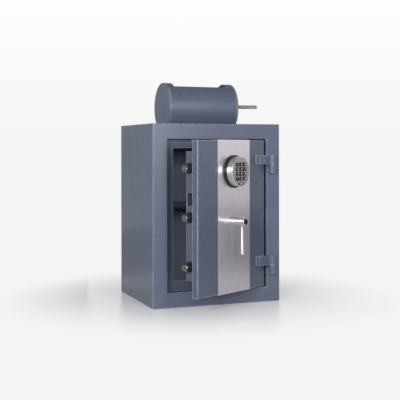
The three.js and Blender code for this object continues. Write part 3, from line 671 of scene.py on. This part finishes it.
# Door: a pan folded from steel sheet with rounded front edges, sprayed a shade darker than the
# body and closed at the back by a plate on small screws. It hangs ajar on its two hinge arms.
# Places on the door are those of the shut door, and door_place swings them out with it.
hinge = next(joint for joint in frame["joints"] if joint["name"] == "door_hinge")
hinge_foot = Vector((hinge["pos_m"][0], hinge["pos_m"][1], 0))
door_ajar = radians(-hinge["range_deg"][0])
door_place = (
    Matrix.Translation(hinge_foot) @ Matrix.Rotation(door_ajar, 4, "Z")
    @ Matrix.Translation(-hinge_foot)
)
door_face_y = -0.1525
door_back_y = -0.1335
skin_rounding = 0.0004
door_slate = (0.074, 0.089, 0.133, 1)
door_pale = (0.081, 0.097, 0.143, 1)
# Painted highlight: the door's pale edge colour, paler than wear, stands in for light along its
# rounded edges.
door_worn_and_highlight = (0.58, 0.61, 0.70, 1)
back_screw_columns = (-0.134, 0.130)
back_screw_rows = (0.062, 0.185, 0.315, 0.438)
screw_radius = 0.0032
screw_height = 0.0016
screw_shares = ((1, 0), (1, 0.45), (0.85, 0.85), (0.6, 1), (0.4, 1), (0.38, 0.5))

door_paint = sprayed_paint("door_paint", door_slate, door_pale, door_worn_and_highlight, gloss=(0.27, 0.33))
dressed("door_skin", "sprayed", skin_rounding, "door", door_paint)
sprayed_inside("door_back", "door")


def pan_screw(name, place):
    """A small plated pan-head screw along z, with a round socket in its head."""
    head = turned(
        name, [(screw_radius * wide, screw_height * tall) for wide, tall in screw_shares],
        vertices=24,
    )
    smoothed(head, 40)
    seated(head, place)
    finished(head, "door", zinc_plate)


screw_places = [(x, z) for x in back_screw_columns for z in back_screw_rows]
for number, (x, z) in enumerate(screw_places, 1):
    screw_place = door_place @ Matrix.Translation((x, door_back_y, z)) @ along_y
    pan_screw(f"back_screw_{number}", screw_place)


# Hinge arms: machined flats with a boss at the end that drops over the pin, welded along their
# edges to the front of the door. They are sprayed with the body.
arm_left, arm_right = 0.1048, 0.1425
arm_weld_y = -0.1530
end_weld_out = 0.0004

for side in ("lower", "upper"):
    node = f"hinge_arm_{side}"
    low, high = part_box(node)
    dressed(node, "sprayed", plate_rounding, "door", slate_paint)
    end_place = Matrix.Translation((arm_left - end_weld_out, arm_weld_y, low[2]))
    weld_bead(f"arm_weld_{side}_end", high[2] - low[2], door_place @ end_place, "door")
    for edge, height in (("under", low[2]), ("over", high[2])):
        edge_place = Matrix.Translation((arm_left, arm_weld_y, height)) @ along_x
        weld_bead(
            f"arm_weld_{side}_{edge}", arm_right - arm_left, door_place @ edge_place, "door"
        )


# Steel band: a thin sheet of stainless steel down the middle of the door, brushed upright and
# held flat under the keypad and the handle.
band_rounding = 0.0003
band_dark = (0.50, 0.47, 0.51, 1)
band_pale = (0.54, 0.51, 0.55, 1)

brushed_band = bare_metal(
    "brushed_band", band_dark, band_pale, gloss=(0.27, 0.33), scale=700.0,
    depth=0.000006, rubbed=0.3, stretch=(1, 1, 0.02), metallic=0.80,
)
dressed("steel_band", "brushed", band_rounding, "door", brushed_band)


# Bolt box: a sheet cover over the bolt work behind the door, with a long slot on its free side
# and screws at both ends. Black nylon rings guide the three bolts out of it.
box_left = -0.0750
box_bottom, box_top = 0.076, 0.424
box_screw_y = -0.100
box_screw_columns = (-0.050, 0.050)
bolt_y = -0.0663
bolt_heights = {"lower": 0.1135, "middle": 0.2460, "upper": 0.3785}
guide_bore, guide_radius = 0.0104, 0.0148
guide_seat, guide_front = 0.0001, 0.0036
guide_rounding = 0.0004
nylon_dark = (0.010, 0.010, 0.012, 1)
nylon_pale = (0.016, 0.016, 0.019, 1)
moulded_shine = 0.25
moulded_rub_radius, moulded_rub, moulded_wear = 0.0004, 0.20, 4
mottle_scale, sheen_scale, pore_scale = 300.0, 80.0, 1500.0
pore_depth = 0.00002


def moulded(name, colour, pale, gloss):
    """Moulded plastic or rubber: a fine even grain with a slightly uneven gloss."""
    material, shader = new_material(name)
    nodes, links = material.node_tree.nodes, material.node_tree.links
    shader.inputs["Specular IOR Level"].default_value = moulded_shine
    mottle = spread(nodes, links, grain(nodes, links, mottle_scale))
    tone = blended(nodes, links, mottle, colour, pale)
    rub_and_highlight = edge_rub_and_highlight(nodes, links, moulded_rub_radius, moulded_rub)
    worn_and_highlight = tuple(min(1.0, moulded_wear * part) for part in pale[:3]) + (1,)
    links.new(blended(nodes, links, rub_and_highlight, tone, worn_and_highlight), shader.inputs["Base Color"])
    sheen = spread(nodes, links, grain(nodes, links, sheen_scale), *gloss)
    links.new(sheen, shader.inputs["Roughness"])
    bumped(nodes, links, shader, grain(nodes, links, pore_scale, detail=1.0), pore_depth)
    return material


black_nylon = moulded("black_nylon", nylon_dark, nylon_pale, gloss=(0.35, 0.5))
dressed("bolt_box", "sprayed", sheet_rounding, "door", slate_paint)
to_free_side = Matrix.Rotation(-pi / 2, 4, "Y")
for name, height in bolt_heights.items():
    guide = turned(f"bolt_guide_{name}", [
        (guide_bore, guide_seat),
        (guide_radius, guide_seat),
        (guide_radius, guide_front),
        (guide_bore, guide_front),
    ], bored=True)
    rounded(guide, guide_rounding)
    seated(guide, door_place @ Matrix.Translation((box_left, bolt_y, height)) @ to_free_side)
    finished(guide, "door", black_nylon)
box_screws = [
    (x, z, turn) for z, turn in ((box_top, 0), (box_bottom, pi)) for x in box_screw_columns
]
for number, (x, z, turn) in enumerate(box_screws, 1):
    screw_place = Matrix.Translation((x, box_screw_y, z)) @ Matrix.Rotation(turn, 4, "X")
    pan_screw(f"box_screw_{number}", door_place @ screw_place)


# Bolts: three round bars of plated steel, turned flat at the tip with a small chamfer and the
# lathe's centre hole. They sit on a zinc-plated bar that the handle's pinion drives by a rack.
bolt_foot = -0.02651
bolt_length = 0.0735
bolt_radius = 0.010
bolt_chamfer = 0.0010
tip_face_radius = bolt_radius - 0.0013
centre_mouth, centre_bottom, centre_depth = 0.0022, 0.0006, 0.0014
bolt_rounding = 0.0002
bar_rounding = 0.0004
bolt_dark = (0.24, 0.24, 0.235, 1)
bolt_pale = (0.30, 0.30, 0.29, 1)
faced_dark = (0.10, 0.10, 0.098, 1)
faced_pale = (0.19, 0.19, 0.185, 1)

bolt_steel = bare_metal(
    "bolt_steel", bolt_dark, bolt_pale, gloss=(0.16, 0.24), scale=150.0,
    depth=0.00001, rubbed=0.9,
)
faced_steel = bare_metal(
    "faced_steel", faced_dark, faced_pale, gloss=(0.34, 0.50), scale=420.0,
    depth=0.00004, rubbed=0.1,
)
for name, height in bolt_heights.items():
    bolt = turned(f"bolt_{name}_turned", [
        (bolt_radius, 0),
        (bolt_radius, bolt_length - bolt_chamfer),
        (bolt_radius - bolt_chamfer, bolt_length),
        (centre_mouth, bolt_length),
        (centre_bottom, bolt_length - centre_depth),
    ])
    rounded(bolt, bolt_rounding)
    bolt_place = door_place @ Matrix.Translation((bolt_foot, bolt_y, height)) @ to_free_side
    fitted(bolt, f"bolt_{name}", bolt_place, "bolt_work", bolt_steel)
    bolt.data.materials.append(faced_steel)
    tip = door_place @ Vector((bolt_foot - bolt_length, bolt_y, height))
    for end in bolt.data.polygons:
        if (end.center - tip).length < tip_face_radius:
            end.material_index = 1
for node in ("bolt_bar", "bolt_rack"):
    dressed(node, "plated", bar_rounding, "bolt_work", zinc_plate)


# Lock: a case cast in zinc alloy on the back of the door pan, with a plated tongue that drops
# in behind the bolt bar.
case_rounding = 0.0012
tongue_rounding = 0.0006
cast_dark = (0.22, 0.22, 0.225, 1)
cast_pale = (0.30, 0.30, 0.31, 1)

cast_zinc = bare_metal(
    "cast_zinc", cast_dark, cast_pale, gloss=(0.45, 0.60), scale=160.0,
    depth=0.00006, rubbed=0.4,
)
dressed("lock_body", "cast", case_rounding, "door", cast_zinc)
dressed("lock_tongue", "plated", tongue_rounding, "lock_bolt", zinc_plate)


# Keypad base: a ring of black plastic, glossy and rounded at its front edge, that sits on the
# band. A rubber-covered cable runs from it through the door to the lock.
keypad_x, keypad_z = 0.0030, 0.3701
off_the_door = Matrix.Rotation(pi / 2, 4, "X")
keypad_place = (
    door_place @ Matrix.Translation((keypad_x, door_face_y, keypad_z)) @ off_the_door
)
trim_rounding = 0.0002
rubber_rounding = 0.0003
gloss_black_dark = (0.012, 0.011, 0.013, 1)
gloss_black_pale = (0.018, 0.017, 0.020, 1)
rubber_dark = (0.020, 0.020, 0.020, 1)
rubber_pale = (0.030, 0.030, 0.030, 1)

gloss_black = moulded("gloss_black", gloss_black_dark, gloss_black_pale, gloss=(0.16, 0.26))
black_rubber = moulded("black_rubber", rubber_dark, rubber_pale, gloss=(0.70, 0.85))
base = turned("keypad_base_moulded", [
    (0.0440, 0.0016),
    (0.0440, 0.0058),
    (0.0436, 0.0069),
    (0.0427, 0.0077),
    (0.0414, 0.0080),
], vertices=96)
rounded(base, trim_rounding)
fitted(base, "keypad_base", keypad_place, "door", gloss_black)
for node in ("keypad_mat", "keypad_cable"):
    dressed(node, "moulded", rubber_rounding, "door", black_rubber)


# Keypad bezel: a deep ring of plated metal, turned and polished bright, that stands on the base
# and holds the face in a narrow rim.
chrome_dark = (0.66, 0.645, 0.63, 1)
chrome_pale = (0.72, 0.705, 0.69, 1)

bezel_chrome = bare_metal(
    "bezel_chrome", chrome_dark, chrome_pale, gloss=(0.27, 0.33), scale=120.0,
    depth=0.000003, rubbed=0.2,
)
bezel = turned("keypad_bezel_plated", [
    (0.0380, 0.0083),
    (0.0399, 0.0083),
    (0.0399, 0.0246),
    (0.0396, 0.0254),
    (0.0389, 0.0260),
    (0.0380, 0.0260),
], vertices=96, bored=True)
rounded(bezel, trim_rounding)
fitted(bezel, "keypad_bezel", keypad_place, "door", bezel_chrome)


# Keypad face: a satin metal plate with twelve openings for the keys and an oval badge below
# them. The badge is a dark rim round a bare silver plate.
face_rounding = 0.0003
face_dark = (0.27, 0.25, 0.262, 1)
face_pale = (0.31, 0.29, 0.302, 1)
badge_drop = 0.0326
badge_half_width = 0.0130
badge_slimness = 0.346
badge_rounding = 0.00015

satin_face = bare_metal(
    "satin_face", face_dark, face_pale, gloss=(0.30, 0.40), scale=500.0,
    depth=0.000006, rubbed=0.25,
)
dressed("keypad_face", "satin", face_rounding, "door", satin_face)


def badge_part(name, steps, bored, finish):
    """An oval part of the badge: a turned piece that is pressed flat across."""
    part = turned(name, steps, bored=bored)
    part.scale = (1, badge_slimness, 1)
    only(part)
    bpy.ops.object.transform_apply(location=True, rotation=True, scale=True)
    rounded(part, badge_rounding)
    seated(part, keypad_place @ Matrix.Translation((0, -badge_drop, 0)))
    finished(part, "door", finish)


badge_part("badge_rim", [
    (badge_half_width * 0.76, 0.0262),
    (badge_half_width, 0.0262),
    (badge_half_width, 0.0270),
    (badge_half_width * 0.97, 0.0273),
    (badge_half_width * 0.76, 0.0273),
], True, gloss_black)
badge_part("badge_plate", [
    (badge_half_width * 0.75, 0.0265),
    (badge_half_width * 0.75, 0.0270),
    (badge_half_width * 0.68, 0.0271),
], False, satin_face)


# Keys: twelve square caps moulded in black plastic with a shallow dish. One is modelled and
# copied into three columns and four rows, and each has its own pale printed sign.
key_width, key_height, key_corner = 0.0106, 0.0102, 0.0016
key_bottom, key_top = 0.0214, 0.0282
key_rounding = 0.0004
dish_rim, dish_depth = 0.0011, 0.0003
key_columns, key_rows = 3, 4
key_across, key_down = 0.0155, 0.0126
key_signs = "123456789*0#"
sign_size = 0.0072
sign_thickness, sign_boldness, sign_sunk = 0.00006, 0.00025, 0.00027
key_black_dark = (0.006, 0.006, 0.008, 1)
key_black_pale = (0.009, 0.009, 0.012, 1)
print_dark = (0.72, 0.71, 0.73, 1)
print_pale = (0.80, 0.79, 0.81, 1)

key_black = moulded("key_black", key_black_dark, key_black_pale, gloss=(0.20, 0.30))
pale_print = moulded("pale_print", print_dark, print_pale, gloss=(0.5, 0.6))
bpy.ops.object.select_all(action="DESELECT")
bpy.ops.mesh.primitive_cube_add(size=1, location=(0, 0, (key_bottom + key_top) / 2))
first_key = bpy.context.object
first_key.scale = (key_width, key_height, key_top - key_bottom)
bpy.ops.object.transform_apply(location=True, rotation=True, scale=True)
bpy.ops.object.mode_set(mode="EDIT")
bpy.ops.mesh.select_mode(type="EDGE")
bpy.ops.mesh.select_all(action="DESELECT")
bpy.ops.object.mode_set(mode="OBJECT")
for edge in first_key.data.edges:
    start, end = (first_key.data.vertices[index].co for index in edge.vertices)
    edge.select = abs((end - start).normalized().z) > square_on
bpy.ops.object.mode_set(mode="EDIT")
bpy.ops.mesh.bevel(offset=key_corner, segments=4)
bpy.ops.mesh.select_mode(type="FACE")
bpy.ops.object.mode_set(mode="OBJECT")
for face_of_key in first_key.data.polygons:
    face_of_key.select = face_of_key.normal.z > square_on
bpy.ops.object.mode_set(mode="EDIT")
bpy.ops.mesh.inset(thickness=dish_rim)
bpy.ops.transform.translate(value=(0, 0, -dish_depth))
bpy.ops.object.mode_set(mode="OBJECT")
rounded(first_key, key_rounding, segments=2, smooth=50)

for number, sign in enumerate(key_signs, 1):
    row, column = divmod(number - 1, key_columns)
    to_right = (column - (key_columns - 1) / 2) * key_across
    upwards = ((key_rows - 1) / 2 - row) * key_down
    spot = Matrix.Translation((to_right, upwards, 0))
    if number < len(key_signs):
        key = bpy.data.objects.new("key", first_key.data.copy())
        scene.collection.objects.link(key)
    else:
        key = first_key
    key.name = f"key_cap_{number}"
    button = f"key_button_{number}"
    fitted(key, f"key_{number}", keypad_place @ spot, button, key_black)
    bpy.ops.object.select_all(action="DESELECT")
    bpy.ops.object.text_add()
    print_sign = bpy.context.object
    print_sign.name = f"key_sign_{number}"
    print_sign.data.body = sign
    print_sign.data.size = sign_size
    print_sign.data.align_x = "CENTER"
    print_sign.data.align_y = "CENTER"
    print_sign.data.extrude = sign_thickness
    print_sign.data.offset = sign_boldness
    only(print_sign)
    bpy.ops.object.convert(target="MESH")
    print_sign = bpy.context.object
    on_key = spot @ Matrix.Translation((0, 0, key_top - sign_sunk))
    seated(print_sign, keypad_place @ on_key)
    finished(print_sign, button, pale_print)


# Handle hub: a round bar of chromed steel on a low flange, waisted before a faceted ring at its
# end. The spindle inside it runs through the door to the pinion of the bolt work.
handle_x, handle_z = -0.0012, 0.2373
handle_place = (
    door_place @ Matrix.Translation((handle_x, door_face_y, handle_z)) @ off_the_door
)
hub_radius = 0.0133
waist_radius = hub_radius - 0.0007
ring_radius = 0.0112
neck_radius = ring_radius - 0.0014
spindle_rounding = 0.0003
silver_dark = (0.68, 0.665, 0.685, 1)
silver_pale = (0.74, 0.725, 0.745, 1)

handle_chrome = bare_metal(
    "handle_chrome", silver_dark, silver_pale, gloss=(0.27, 0.33), scale=120.0,
    depth=0.000003, rubbed=0.2,
)
hub = turned("handle_hub_chromed", [
    (hub_radius, 0.0016),
    (hub_radius, 0.0032),
    (waist_radius, 0.0042),
    (waist_radius, 0.0330),
    (hub_radius, 0.0338),
    (hub_radius, 0.0350),
    (hub_radius - 0.0010, 0.0360),
    (neck_radius, 0.0361),
    (neck_radius, 0.0375),
], vertices=64)
rounded(hub, trim_rounding)
fitted(hub, "handle_hub", handle_place, "handle", handle_chrome)
ring = turned("handle_ring_chromed", [
    (ring_radius - 0.0008, 0.0366),
    (ring_radius, 0.0374),
    (ring_radius, 0.0436),
    (ring_radius - 0.0010, 0.0445),
], vertices=16)
rounded(ring, turned_rounding, segments=2, smooth=12)
fitted(ring, "handle_hub", handle_place, "handle", handle_chrome)
dressed("handle_spindle", "plated", spindle_rounding, "handle", zinc_plate)


# Handle cap: a black plastic stud, moulded with eight facets and a shallow hollow in its end,
# that sits on the faceted ring and closes the hub's end.
cap = turned("handle_cap_moulded", [
    (0.0088, 0.0446),
    (0.0088, 0.0453),
    (0.0058, 0.0465),
    (0.0050, 0.0465),
    (0.0044, 0.0460),
], vertices=8)
rounded(cap, trim_rounding, segments=2, smooth=10)
fitted(cap, "handle_cap", handle_place, "handle", gloss_black)


# Lever: a chromed oval bar that hangs from the hub's end, wider towards its rounded tip and
# swept a little away from the door. Each ring is a run down, a half width and a rise.
lever_place = (
    door_place @ Matrix.Translation((handle_x, door_face_y, handle_z - hub_radius))
    @ Matrix.Rotation(pi, 4, "X")
)
lever_thickness_share = 0.55
lever_rings = [
    (0.0002, 0.0043, 0.0333),
    (0.0080, 0.0046, 0.0334),
    (0.0250, 0.0054, 0.0337),
    (0.0430, 0.0062, 0.0341),
    (0.0600, 0.0069, 0.0345),
    (0.0700, 0.0072, 0.0347),
    (0.0732, 0.0070, 0.0347),
    (0.0746, 0.0062, 0.0347),
    (0.0752, 0.0046, 0.0347),
]

rings = [(half_width, Vector((0, rise, run))) for run, half_width, rise in lever_rings]
bpy.ops.object.select_all(action="DESELECT")
bpy.ops.mesh.primitive_circle_add(
    vertices=32, radius=rings[0][0], fill_type="NGON", location=rings[0][1]
)
lever = bpy.context.object
lever.name = "handle_lever_chromed"
lever.scale = (1, lever_thickness_share, 1)
bpy.ops.object.transform_apply(location=True, rotation=True, scale=True)
bpy.ops.object.mode_set(mode="EDIT")
bpy.ops.mesh.select_all(action="SELECT")
drawn_out(rings)
bpy.ops.mesh.select_all(action="SELECT")
bpy.ops.mesh.normals_make_consistent(inside=False)
bpy.ops.object.mode_set(mode="OBJECT")
rounded(lever, turned_rounding, segments=2, smooth=50)
fitted(lever, "handle_lever", lever_place, "handle", handle_chrome)
